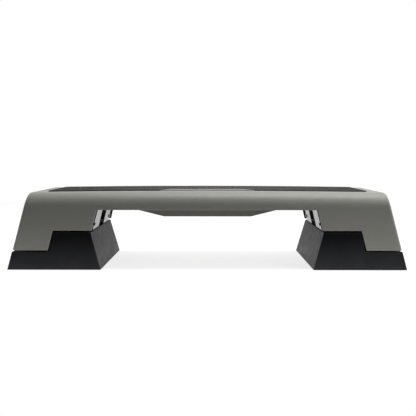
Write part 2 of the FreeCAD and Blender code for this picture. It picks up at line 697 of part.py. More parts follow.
mat_front = f"(-{MAT_HALF_DEPTH})"
notch_x = "(Sizes.plate_back / 2 + 3 * Sizes.plate_gap)"
mat_prism = sheet_prism(
    "mat_prism",
    across(
        [
            ("Sizes.plate_back / 2 + Sizes.plate_gap", f"{mat_front} + Sizes.plate_depth + Sizes.plate_gap"),
            ("Sizes.plate_front / 2 + Sizes.plate_gap", mat_front),
            (MAT_HALF_LENGTH, mat_front),
            (MAT_HALF_LENGTH, MAT_HALF_DEPTH),
        ]
    ),
    (
        ("Sizes.mat_corner", lambda x, y: x > value_of(f"{MAT_HALF_LENGTH} - {MARGIN}")),
        ("Sizes.plate_corner + Sizes.plate_gap", lambda x, y: x < value_of(notch_x)),
    ),
)
top_mat = crowned_sheet("top_mat", mat_prism, "Sizes.mat_thickness")
plate_prism = sheet_prism(
    "plate_prism",
    across(
        [
            ("Sizes.plate_front / 2", mat_front),
            ("Sizes.plate_back / 2", f"{mat_front} + Sizes.plate_depth"),
        ]
    ),
    (("Sizes.plate_corner", lambda x, y: x < value_of(f"Sizes.plate_back / 2 + {MARGIN}")),),
)
front_plate = crowned_sheet("front_plate", plate_prism, "Sizes.plate_thickness")


# Rubber feet: a bevelled tread with a stem, head below zero and stem up.
def foot_blank(name, height):
    tread = rod(f"{name}_tread", "0", "0", f"Sizes.foot_edge - {height}", "0", "Sizes.foot_diameter")
    bevel = doc.addObject("Part::Cone", f"{name}_bevel")
    bind(bevel, Radius1="Sizes.foot_diameter / 2 - Sizes.foot_edge", Radius2="Sizes.foot_diameter / 2")
    bind(bevel, Height="Sizes.foot_edge")
    place(bevel, z=f"-({height})")
    stem = rod(f"{name}_stem", "0", "0", f"-({height}) / 2", "Sizes.foot_stem_length", "Sizes.foot_stem")
    return fuse(name, tread, bevel, stem)


def foot_dimple(name, height):
    top = f"-({height}) + Sizes.foot_edge / 2"
    return rod(name, "0", "0", f"(-({height}) - {OVERRUN})", top, "Sizes.foot_stem")


deck_foot = foot_blank("deck_foot_blank", "Sizes.deck_foot_height")
deck_dimple = foot_dimple("deck_foot_dimple", "Sizes.deck_foot_height")
riser_foot = foot_blank("riser_foot_blank", "Sizes.riser_foot_height")
riser_dimple = foot_dimple("riser_foot_dimple", "Sizes.riser_foot_height")
riser_foot_places = [
    (f"{row}_{where}", x, y)
    for row, x in (
        ("outer", "(Sizes.overall_length / 2 - Sizes.riser_foot_inset_outer)"),
        ("inner", f"({riser_inner_at('0')} + Sizes.riser_foot_inset_inner)"),
    )
    for where, y in both_ways(FOOT_Y)
]
feet = []
for hand, sign in (("left", -1), ("right", 1)):
    for where, y in both_ways(FOOT_Y):
        foot = cut(f"{hand}_{where}_deck_foot", deck_foot, deck_dimple)
        feet.append(place(foot, f"{sign} * {LOW_LUG_X}", y, SOLE))
    for where, x, y in riser_foot_places:
        foot = cut(f"{hand}_{where}_riser_foot", riser_foot, riser_dimple)
        feet.append(place(foot, f"{sign} * {x}", y, "Sizes.riser_foot_height"))


# Risers: a stepped hollow block with lugs on both seats.
def riser_block(name):
    body = doc.addObject("PartDesign::Body", name)
    block = body.newObject("PartDesign::AdditiveWedge", f"{name}_wedge")
    block.AttachmentSupport = [(origin_plane(body, "XY_Plane"), "")]
    block.MapMode = "FlatFace"
    block.AttachmentOffset = UPRIGHT
    wedge_sizes(
        block, "Sizes.rim_lift", TALL_SEAT, riser_inner_at, end_at, lambda z: f"-({side_at(z)})", side_at
    )
    sketch = body.newObject("Sketcher::SketchObject", f"{name}_step_outline")
    sketch.AttachmentSupport = [(origin_plane(body, "XZ_Plane"), "")]
    sketch.MapMode = "FlatFace"
    above = f"({TALL_SEAT} + {OVERRUN})"
    beyond = f"(Sizes.overall_length / 2 + {OVERRUN})"
    inner_corners = [(riser_step_at(above), above), (riser_step_at(LOW_SEAT), LOW_SEAT)]
    trace(sketch, inner_corners + [(beyond, LOW_SEAT), (beyond, above)])
    step = body.newObject("PartDesign::Pocket", f"{name}_step")
    step.Profile = sketch
    step.Type = "ThroughAll"
    step.Midplane = True
    doc.recompute()
    low = step.Shape.BoundBox.ZMin + MARGIN
    corner = Vector(value_of(riser_step_at(LOW_SEAT)), 0, value_of(LOW_SEAT))
    names = edge_names(
        step.Shape, lambda edge: edge.BoundBox.ZMax > low and (edge.CenterOfMass - corner).Length > MARGIN
    )
    rounded(body, f"{name}_round", step, names, "Sizes.riser_round")
    return body


def cell(name, y_low, y_high, tall):
    x_low = riser_inner_at if tall else riser_step_at
    x_high = riser_step_at if tall else end_at
    inset_low = "Sizes.riser_wall" if tall else "0"
    return wedge(
        name,
        f"(Sizes.rim_lift - {OVERRUN})",
        f"({TALL_SEAT if tall else LOW_SEAT} - Sizes.riser_wall)",
        lambda z: f"({x_low(z)} + {inset_low})",
        lambda z: f"({x_high(z)} - Sizes.riser_wall)",
        y_low,
        y_high,
    )


def inside_at(z):
    return f"({side_at(z)} - Sizes.riser_wall)"


rib_near = "(Sizes.riser_rib_offset - Sizes.riser_rib / 2)"
rib_far = "(Sizes.riser_rib_offset + Sizes.riser_rib / 2)"
cells = []
for row, tall in (("tall", True), ("low", False)):
    cells.append(cell(f"{row}_front_cell", lambda z: f"-{inside_at(z)}", lambda z: f"-{rib_far}", tall))
    cells.append(cell(f"{row}_middle_cell", lambda z: f"-{rib_near}", lambda z: rib_near, tall))
    cells.append(cell(f"{row}_back_cell", lambda z: rib_far, inside_at, tall))
riser_hollow = cut("riser_hollow", riser_block("riser_block"), *cells)
riser_adds = []
riser_holes = []
for seat, x, z in (("low", LOW_LUG_X, LOW_SEAT), ("tall", TALL_LUG_X, TALL_SEAT)):
    for where, y in both_ways(LUG_Y):
        name = f"{seat}_{where}_lug"
        lead = "(2 * Sizes.lug_clearance)"
        collar = f"({z} + Sizes.lug_height - {lead})"
        riser_adds.append(rod(name, x, y, f"({z} - Sizes.riser_wall / 2)", collar, "Sizes.lug_diameter"))
        nose = doc.addObject("Part::Cone", f"{name}_nose")
        bind(nose, Radius1="Sizes.lug_diameter / 2", Radius2=f"Sizes.lug_diameter / 2 - {lead}", Height=lead)
        riser_adds.append(place(nose, x, y, collar))
        bore_top = f"({z} + Sizes.lug_height - Sizes.lug_wall)"
        bore = "Sizes.lug_diameter - 2 * Sizes.lug_wall"
        riser_holes.append(rod(f"{name}_bore", x, y, f"({z} - Sizes.riser_wall - {OVERRUN})", bore_top, bore))
for (where, x, y), z in zip(riser_foot_places, (LOW_SEAT, LOW_SEAT, TALL_SEAT, TALL_SEAT)):
    root = f"({z} - Sizes.riser_wall / 2)"
    riser_adds.append(rod(f"{where}_foot_boss", x, y, "Sizes.riser_foot_height", root, "Sizes.riser_boss"))
    stem_top = "(Sizes.riser_foot_height + Sizes.foot_stem_length + Sizes.stem_end_gap)"
    riser_holes.append(rod(f"{where}_foot_hole", x, y, "0", stem_top, stem_hole))
right_riser = cut("right_riser", fuse("riser_fitted", riser_hollow, *riser_adds), *riser_holes)
left_riser = mirrored("left_riser", right_riser)

doc.recompute()
nodes = [deck_shell, underframe, underframe_screws, top_mat, front_plate, left_riser, right_riser]
nodes += leg_covers + cover_screws + feet
for obj in doc.Objects:
    if "Invalid" in obj.State or "Error" in obj.State:
        raise RuntimeError(f"{obj.Label} did not build: {obj.State}")
os.makedirs("parts", exist_ok=True)
for node in nodes:
    if node.Shape.isNull() or not node.Shape.isValid():
        raise RuntimeError(f"{node.Label} has no valid shape")
    node.Shape.exportStep(f"parts/{node.Label}.step")
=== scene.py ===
import math

import bpy
import numpy as np
from bpy.props import FloatProperty, FloatVectorProperty, IntProperty, PointerProperty
from bpy.types import Operator, Panel, PropertyGroup
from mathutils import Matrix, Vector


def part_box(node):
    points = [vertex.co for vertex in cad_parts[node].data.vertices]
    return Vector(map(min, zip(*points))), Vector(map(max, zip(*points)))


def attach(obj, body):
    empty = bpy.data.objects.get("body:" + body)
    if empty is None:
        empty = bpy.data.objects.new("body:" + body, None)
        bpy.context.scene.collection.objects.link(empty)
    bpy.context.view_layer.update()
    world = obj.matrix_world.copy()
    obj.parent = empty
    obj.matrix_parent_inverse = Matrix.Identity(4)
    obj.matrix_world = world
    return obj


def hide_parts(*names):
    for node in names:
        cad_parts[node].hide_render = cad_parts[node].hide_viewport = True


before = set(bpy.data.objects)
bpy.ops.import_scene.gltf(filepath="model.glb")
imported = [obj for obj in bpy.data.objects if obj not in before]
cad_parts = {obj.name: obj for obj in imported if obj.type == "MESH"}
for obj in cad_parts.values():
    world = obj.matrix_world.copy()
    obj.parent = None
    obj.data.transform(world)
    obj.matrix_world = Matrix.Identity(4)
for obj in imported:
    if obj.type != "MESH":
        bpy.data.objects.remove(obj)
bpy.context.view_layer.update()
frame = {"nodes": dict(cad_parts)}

bl_info = {
    "name": "Aerobic step platform",
    "version": (1, 0, 0),
    "blender": (4, 5, 0),
    "location": "View3D > Sidebar > Step",
    "description": "Models and finishes the visible pieces of an aerobic step platform",
    "category": "Object",
}

# The axes along and across the step
ALONG = 0
ACROSS = 1
# Points of a CAD mesh that lie nearer to each other than this are one point
SAME_POINT = 0.000001
# An inset on the crowned mat rises by about a micrometre, so it is set down by a little more
SETTLE = 0.00001
# A face looks up when its normal's height is over the first, and sideways when it is under the second
UPWARD = 0.9
SIDEWAYS = 0.5
# Faces that meet at less than this angle lie in one plane
LEVEL_ANGLE = math.radians(1)
# How deep the grain of plastic and rubber and the ripple of plated steel are
GRAIN_DEPTH = 0.0003
PLATING_DEPTH = 0.0001
# A rubbed spot is this many times as pale as the plastic, and a little more
RUB_GAIN = 1.8
RUB_LIFT = 0.02
# Width of the camera's sensor in millimetres
SENSOR_WIDTH = 36.0

# Kinds of socket, plain colours and ranges that several materials use
COLOUR = "NodeSocketColor"
VALUE = "NodeSocketFloat"
GREY = (0.5, 0.5, 0.5, 1.0)
WHITE = (1.0, 1.0, 1.0, 1.0)
NONE_TO_ALL = (0.0, 1.0)
# A noise seldom leaves this range
NOISE_RANGE = (0.3, 0.7)
# The dim room ends and the pale one begins at these depths of a direction that light comes from
ROOM_FADE = (-0.25, 0.35)


def length(name, description, default):
    return FloatProperty(
        name=name, description=description, default=default, unit="LENGTH", precision=5
    )


def share(name, description, default):
    return FloatProperty(
        name=name, description=description, default=default, min=0, max=1, subtype="FACTOR"
    )


def brightness(name, description, default):
    return FloatProperty(name=name, description=description, default=default, min=0)


def power(name, description, default):
    return FloatProperty(name=name, description=description, default=default, unit="POWER")


def count(name, description, default):
    return IntProperty(name=name, description=description, default=default, min=2)


def colour(name, description, default):
    return FloatVectorProperty(
        name=name, description=description, default=default, subtype="COLOR", min=0, max=1
    )


def position(name, description, default):
    return FloatVectorProperty(
        name=name, description=description, default=default, subtype="TRANSLATION"
    )


def rotation(name, description, default):
    return FloatVectorProperty(name=name, description=description, default=default, subtype="EULER")


def extent(name, description, default):
    return FloatVectorProperty(
        name=name, description=description, default=default, size=2, unit="LENGTH"
    )


class STEP_PG_mat(PropertyGroup):
    pitch: length("Stud pitch", "Distance from one stud to the next", 0.0074)
    columns: count("Columns", "Studs along the step", 112)
    rows: count("Rows", "Studs across the step", 31)
    stud_width: length("Stud width", "Width of a stud at its foot", 0.0052)
    stud_height: length("Stud height", "Height of a stud above the sheet", 0.0005)
    stud_root: length("Stud root", "How far a stud reaches down into the sheet", 0.0002)
    stud_edge: length("Stud edge", "Chamfer round a stud's top", 0.0003)
    edge: length("Edge", "Chamfer of the mat's upper edge", 0.0014)
    rim: length("Rim", "Width of the raised rim round the studs", 0.002)
    step: length("Step", "Width of the slope from the rim down to the sheet", 0.0004)
    border: length("Border", "Least distance from a stud to the mat's edge", 0.0045)
    crown: length("Crown radius", "Radius of the deck's crown", 30.0)
    plate_taper: length("Plate taper", "How far each side of the plate leans in at the back", 0.021)
    rubber: colour("Rubber", "Colour of the studs", (0.052, 0.051, 0.051))
    # Painted light: the sheet between the studs is the studs' rubber made about twice as pale, a painted
    # highlight in the grooves
    groove: colour("Groove", "Colour of the sheet between the studs", (0.105, 0.103, 0.101))


class STEP_PG_plate(PropertyGroup):
    edge: length("Edge", "Chamfer of the plate's upper edge", 0.0016)
    rim: length("Rim", "Width of the raised rim round the bare field", 0.0032)
    recess: length("Recess", "Depth of the bare field below the rim", 0.0005)
    plastic: colour("Plastic", "Colour of the plate", (0.132, 0.131, 0.126))


class STEP_PG_moulding(PropertyGroup):
    deck: colour("Deck", "Colour of the deck", (0.272, 0.270, 0.243))
    # Painted shade: the inner faces of the deck's walls get this dark colour in place of the shade that
    # falls inside them
    inside: colour("Deck inside", "Colour of the inner faces of the deck's walls", (0.03, 0.03, 0.028))
    inner_reach: length("Inner reach", "Least distance of an inner face from the middle", 0.05)
    # Painted shade: the underframe is the deck's plastic darkened, for the shade it sits in under the deck
    frame: colour("Underframe", "Colour of the underframe", (0.205, 0.203, 0.190))
    riser: colour("Riser", "Colour of the riser blocks", (0.0085, 0.0088, 0.0098))
    cover: colour("Leg cover", "Colour of the leg covers", (0.055, 0.055, 0.056))
    mottle: share("Mottle", "How far the colour wanders over a moulding", 0.07)
    dust: colour("Dust", "Colour of the dust that settles on top", (0.46, 0.45, 0.42))
    dusting: share("Dusting", "How much dust lies on faces that look up", 0.10)
    # Painted light: a pale colour laid on the risers, fading up from the floor, stands in for the light
    # the floor throws up on them
    grime: colour("Grime", "Colour of the film at the foot of the risers", (0.44, 0.445, 0.475))
    film: share("Film", "How much of that film clings to them at the floor", 0.08)
    film_height: length("Film height", "How far up from the floor that film reaches", 0.085)


class STEP_PG_fittings(PropertyGroup):
    rubber: colour("Feet", "Colour of the rubber feet", (0.016, 0.016, 0.016))
    steel: colour("Screws", "Colour of the plated screws", (0.56, 0.56, 0.57))


class STEP_PG_stage(PropertyGroup):
    floor: colour("Floor", "Colour of the floor", (0.40, 0.40, 0.40))
    floor_glow: brightness("Floor glow", "Light that comes up through the floor", 0.78)
    floor_front: length("Floor front", "How far the floor runs towards the camera", 0.38)
    floor_back: length("Floor back", "How far the floor runs away from the camera", 2.4)
    floor_side: length("Floor side", "How far the floor runs to each side", 1.8)
    key_power: power("Key power", "Strength of the soft light overhead", 29.5)
    key_place: position("Key place", "Where that light hangs", (0.55, -0.10, 1.75))
    key_size: extent("Key size", "Width and depth of that light", (1.9, 0.8))
    key_turn: rotation("Key turn", "How that light is turned", (0.0, 0.10, 0.0))
    side_power: power("Side power", "Strength of the soft light from the front right", 11.0)
    side_place: position("Side place", "Where that light hangs", (1.7, -1.3, 1.5))
    side_size: extent("Side size", "Width and depth of that light", (1.0, 1.0))
    side_turn: rotation("Side turn", "How that light is turned", (0.80, 0.0, 0.92))
    backdrop: brightness("Backdrop", "Brightness of the pale room behind", 0.8)
    room: brightness("Room", "Brightness of the dim room in front", 0.018)
    lens: FloatProperty(
        name="Lens", description="Focal length of the camera", default=60.85, unit="CAMERA"
    )
    eye: position("Eye", "Where the camera stands", (0.0109, -1.9624, 0.2927))
    aim: rotation("Aim", "How the camera is turned", (1.4956, -0.0007, 0.00483))


# Selecting and shaping


def select_only(obj):
    if bpy.context.object and bpy.context.object.mode != "OBJECT":
        leave_edit()
    bpy.ops.object.select_all(action="DESELECT")
    obj.select_set(True)
    bpy.context.view_layer.objects.active = obj


def leave_edit():
    bpy.ops.object.mode_set(mode="OBJECT")


def points(mesh):
    flat = np.zeros(len(mesh.vertices) * 3)
    mesh.vertices.foreach_get("co", flat)
    return flat.reshape(-1, 3)


def clear_picks(kind):
    """Deselect the whole of the active mesh, ready to pick its points or faces."""
    bpy.ops.object.mode_set(mode="EDIT")
    bpy.ops.mesh.select_mode(type=kind)
    bpy.ops.mesh.select_all(action="DESELECT")
    leave_edit()


def pick_points(obj, wanted):
    """Enter edit mode with just the vertices of a yes-or-no array selected."""
    clear_picks("VERT")
    obj.data.vertices.foreach_set("select", np.asarray(wanted, bool))
    bpy.ops.object.mode_set(mode="EDIT")


def pick_top(obj):
    """Enter edit mode with just the faces that look up selected."""
    clear_picks("FACE")
    for face in obj.data.polygons:
        face.select = looks_up(face)
    bpy.ops.object.mode_set(mode="EDIT")


def looks_up(face):
    return face.normal.z > UPWARD


def looks_sideways(face):
    return abs(face.normal.z) < SIDEWAYS


def merged_copy(node, name):
    """A copy of a CAD node's mesh with its loose triangles joined up, as a new object."""
    select_only(frame["nodes"][node])
    bpy.ops.object.duplicate()
    copy = bpy.context.object
    copy.parent = None
    for key in list(copy.keys()):
        del copy[key]
    copy.name = copy.data.name = name
    bpy.ops.object.mode_set(mode="EDIT")
    bpy.ops.mesh.select_all(action="SELECT")
    bpy.ops.mesh.remove_doubles(threshold=SAME_POINT)
    leave_edit()
    bpy.ops.mesh.customdata_custom_splitnormals_clear()
    return copy


def chamfer_top(obj, width):
    """Inset the upper face of a slab and lower its outermost ring, so that its edge is chamfered."""
    pick_top(obj)
    bpy.ops.mesh.inset(thickness=width, depth=-SETTLE)
    leave_edit()
    above = set()
    beside = set()
    for face in obj.data.polygons:
        if looks_up(face):
            above.update(face.vertices)
        elif looks_sideways(face):
            beside.update(face.vertices)
    ring = above & beside
    pick_points(obj, [index in ring for index in range(len(obj.data.vertices))])
    bpy.ops.transform.translate(value=(0, 0, -width))
    leave_edit()


def smooth(obj, degrees):
    select_only(obj)
    bpy.ops.object.shade_smooth_by_angle(angle=math.radians(degrees))


def dress(obj, material):
    obj.data.materials.clear()
    obj.data.materials.append(material)


def stand_in(obj, node):
    """Put a finished piece in the place of a CAD node on the deck."""
    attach(obj, "deck")
    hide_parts(node)


def finish_nodes(material, *names):
    for name in names:
        dress(frame["nodes"][name], material)


def nodes_ending(ending):
    return [name for name in frame["nodes"] if name.endswith(ending)]


# Nodes of a material


def put(tree, socket, value):
    """Link a socket to another one, or set it to a plain value."""
    if isinstance(value, bpy.types.NodeSocket):
        tree.links.new(value, socket)
    else:
        socket.default_value = value


def object_place(tree):
    return tree.nodes.new("ShaderNodeTexCoord").outputs["Object"]


def axes(tree, vector):
    """The X, Y and Z of a vector, by name."""
    node = tree.nodes.new("ShaderNodeSeparateXYZ")
    tree.links.new(vector, node.inputs["Vector"])
    return node.outputs


def face_normal(tree):
    return axes(tree, tree.nodes.new("ShaderNodeNewGeometry").outputs["Normal"])


def noise(tree, place, scale, detail, roughness=0.5):
    node = tree.nodes.new("ShaderNodeTexNoise")
    put(tree, node.inputs["Vector"], place)
    put(tree, node.inputs["Scale"], scale)
    put(tree, node.inputs["Detail"], detail)
    put(tree, node.inputs["Roughness"], roughness)
    return node.outputs["Fac"]


def spread(tree, value, source, target):
    """Map a value from one range, low and high, to another, and hold it there."""
    node = tree.nodes.new("ShaderNodeMapRange")
    put(tree, node.inputs["Value"], value)
    for label, limit in zip(("From Min", "From Max", "To Min", "To Max"), (*source, *target)):
        put(tree, node.inputs[label], limit)
    return node.outputs["Result"]


def math_node(tree, operation, *values):
    node = tree.nodes.new("ShaderNodeMath")
    node.operation = operation
    for socket, value in zip(node.inputs, values):
        put(tree, socket, value)
    return node.outputs["Value"]


def product(tree, first, *others):
    for other in others:
        first = math_node(tree, "MULTIPLY", first, other)
    return first


def swing(tree, value, reach):
    """Centre a noise on nought and stretch it."""
    return product(tree, math_node(tree, "SUBTRACT", value, 0.5), reach)


def blend_colours(tree, factor, first, second):
    node = tree.nodes.new("ShaderNodeMix")
    node.data_type = "RGBA"
    factor_socket, first_socket, second_socket = node.inputs[0], node.inputs[6], node.inputs[7]
    put(tree, factor_socket, factor)
    put(tree, first_socket, first)
    put(tree, second_socket, second)
    return node.outputs[2]


def bump(tree, shader, height, strength, distance):
    node = tree.nodes.new("ShaderNodeBump")
    put(tree, node.inputs["Strength"], strength)
    put(tree, node.inputs["Distance"], distance)
    put(tree, node.inputs["Height"], height)
    put(tree, shader.inputs["Normal"], node.outputs["Normal"])


def solid(rgb, factor=1.0):
    """An opaque colour, as it is or scaled."""
    return (*(factor * part for part in rgb), 1.0)


def new_material(name):
    material = bpy.data.materials.new(name)
    material.use_nodes = True
    return material, material.node_tree, material.node_tree.nodes["Principled BSDF"]


# Effects that several materials share


def new_group(name, inputs, outputs):
    """A node group whose inputs come with their defaults and its outputs with their kinds."""
    group = bpy.data.node_groups.new(name, "ShaderNodeTree")
    for label, value in inputs.items():
        kind = VALUE if isinstance(value, float) else COLOUR
        socket = group.interface.new_socket(name=label, in_out="INPUT", socket_type=kind)
        socket.default_value = value
    for label, kind in outputs.items():
        group.interface.new_socket(name=label, in_out="OUTPUT", socket_type=kind)
    return group, group.nodes.new("NodeGroupInput").outputs, group.nodes.new("NodeGroupOutput").inputs


def shared(build):
    """Build a node group when it is first asked for, and hand out the same one from then on."""
    name = build.__name__.replace("_", " ").capitalize()

    def hand_out():
        if name not in bpy.data.node_groups:
            build(name)
        return bpy.data.node_groups[name]

    return hand_out


def use_group(tree, group, **values):
    node = tree.nodes.new("ShaderNodeGroup")
    node.node_tree = group
    for label, value in values.items():
        put(tree, node.inputs[label.replace("_", " ")], value)
    return node.outputs


@shared
def moulded_skin(name):
    """Colour that wanders slightly, uneven gloss and the fine grain of a moulded surface."""
    group, given, result = new_group(
        name,
        {"Colour": GREY, "Mottle": 0.05, "Gloss low": 0.35, "Gloss high": 0.5, "Grain": 900.0},
        {"Colour": COLOUR, "Roughness": VALUE, "Height": VALUE},
    )
    place = object_place(group)
    slow = noise(group, place, scale=4.0, detail=3)
    cloud = noise(group, place, scale=45.0, detail=2)
    fine = noise(group, place, scale=given["Grain"], detail=1)
    wander = math_node(group, "ADD", swing(group, slow, reach=2.0), swing(group, cloud, reach=0.8))
    tone = group.nodes.new("ShaderNodeHueSaturation")
    put(group, tone.inputs["Color"], given["Colour"])
    put(group, tone.inputs["Value"], math_node(group, "MULTIPLY_ADD", wander, given["Mottle"], 1.0))
    put(group, result["Colour"], tone.outputs["Color"])
    sheen = math_node(group, "ADD", product(group, cloud, 0.6), product(group, fine, 0.4))
    gloss = spread(group, sheen, NOISE_RANGE, (given["Gloss low"], given["Gloss high"]))
    put(group, result["Roughness"], gloss)
    put(group, result["Height"], fine)


@shared
def settled_dust(name):
    """A thin patchy film on faces that look up."""
    group, given, result = new_group(
        name, {"Colour": GREY, "Dust": GREY, "Amount": 0.1}, {"Colour": COLOUR}
    )
    up = spread(group, face_normal(group)["Z"], (0.35, 1.0), NONE_TO_ALL)
    cloud = noise(group, object_place(group), scale=16.0, detail=4)
    patch = spread(group, cloud, (0.35, 0.65), (0.35, 1.0))
    film = product(group, up, patch, given["Amount"])
    put(group, result["Colour"], blend_colours(group, film, given["Colour"], given["Dust"]))


@shared
def scuffs(name):
    """A mask of short, faint rubs that run along the step."""
    group, given, result = new_group(name, {"Amount": 0.3}, {"Mask": VALUE})
    stretch = group.nodes.new("ShaderNodeMapping")
    put(group, stretch.inputs["Vector"], object_place(group))
    put(group, stretch.inputs["Scale"], (14, 60, 190))
    streak = noise(group, stretch.outputs["Vector"], scale=1.0, detail=3, roughness=0.6)
    streak = spread(group, streak, (0.60, 0.72), NONE_TO_ALL)
    where = noise(group, object_place(group), scale=7.0, detail=2)
    where = spread(group, where, (0.45, 0.65), NONE_TO_ALL)
    put(group, result["Mask"], product(group, streak, where, given["Amount"]))


@shared
def floor_film(name):
    """A mask that fades from the floor up to a height, broken by patches, for painted floor-bounce light.
    """
    group, given, result = new_group(name, {"Height": 0.1, "Amount": 0.1}, {"Mask": VALUE})
    place = object_place(group)
    fade = spread(group, axes(group, place)["Z"], (0.0, given["Height"]), (1.0, 0.0))
    patch = spread(group, noise(group, place, scale=22.0, detail=3), NOISE_RANGE, (0.7, 1.0))
    put(group, result["Mask"], product(group, fade, patch, given["Amount"]))


@shared
def inner_faces(name):
    """A mask of the faces that look in from the front and back walls of a moulding, where painted shade
    goes.
    """
    group, given, result = new_group(name, {"Reach": 0.05}, {"Mask": VALUE})
    outward = product(group, face_normal(group)["Y"], axes(group, object_place(group))["Y"])
    inward = product(group, outward, -1.0)
    put(group, result["Mask"], math_node(group, "GREATER_THAN", inward, given["Reach"]))


def rubbed(rgb, amount):
    """A layer of rubs that are paler than the plastic under them."""
    pale = solid([min(1.0, RUB_GAIN * part + RUB_LIFT) for part in rgb])

    def lay(tree, tint):
        mask = use_group(tree, scuffs(), Amount=amount)["Mask"]
        return blend_colours(tree, mask, tint, pale)

    return lay


def dusty(rgb, amount):
    """A layer of dust on the faces that look up."""

    def lay(tree, tint):
        return use_group(tree, settled_dust(), Colour=tint, Dust=solid(rgb), Amount=amount)["Colour"]

    return lay


def filmed(rgb, height, amount):
    """Painted light: a pale layer that fades out up from the floor, for the light the floor throws up."""

    def lay(tree, tint):
        mask = use_group(tree, floor_film(), Height=height, Amount=amount)["Mask"]
        return blend_colours(tree, mask, tint, solid(rgb))

    return lay


def lined(rgb, reach):
    """Painted shade: a dark colour of its own for the inner faces of a moulding, in place of the shade
    that falls there.
    """

    def lay(tree, tint):
        mask = use_group(tree, inner_faces(), Reach=reach)["Mask"]
        return blend_colours(tree, mask, tint, solid(rgb))

    return lay


def moulded_plastic(name, rgb, mottle, gloss, grain, relief, layers=(), shine=0.5):
    """A moulded plastic under the layers laid over its colour, from the lowest to the topmost: rubs and
    dust, and painted shade and painted light.

    gloss is its roughness from low to high, grain how fine its skin is and relief how strong.
    """
    material, tree, shader = new_material(name)
    low, high = gloss
    skin = use_group(
        tree, moulded_skin(), Colour=solid(rgb), Mottle=mottle, Gloss_low=low, Gloss_high=high, Grain=grain
    )
    tint = skin["Colour"]
    for lay in layers:
        tint = lay(tree, tint)
    put(tree, shader.inputs["Base Color"], tint)
    put(tree, shader.inputs["Roughness"], skin["Roughness"])
    put(tree, shader.inputs["Specular IOR Level"], shine)
    bump(tree, shader, skin["Height"], strength=relief, distance=GRAIN_DEPTH)
    return material


class STEP_OT_deck(Operator):
    """Give the moulded deck and its underframe their satin grained plastic"""

    bl_idname = "step.deck"
    bl_label = "Deck and underframe"

    def execute(self, context):
        look = context.scene.step_moulding
        deck_plastic = moulded_plastic(
            "Deck plastic",
            look.deck,
            mottle=look.mottle,
            gloss=(0.40, 0.56),
            grain=1100,
            relief=0.22,
            layers=(
                rubbed(look.deck, amount=0.25),
                dusty(look.dust, amount=look.dusting),
                # Painted shade on the inner faces of the deck's walls
                lined(look.inside, reach=look.inner_reach),
            ),
        )
        finish_nodes(deck_plastic, "deck_shell")
        # The underframe's darker plastic is painted shade under the deck
        shaded_frame_plastic = moulded_plastic(
            "Underframe plastic",
            look.frame,
            mottle=look.mottle,
            gloss=(0.46, 0.62),
            grain=1100,
            relief=0.25,
            layers=(rubbed(look.frame, amount=0.15),),
        )
        finish_nodes(shaded_frame_plastic, "underframe")
        return {"FINISHED"}


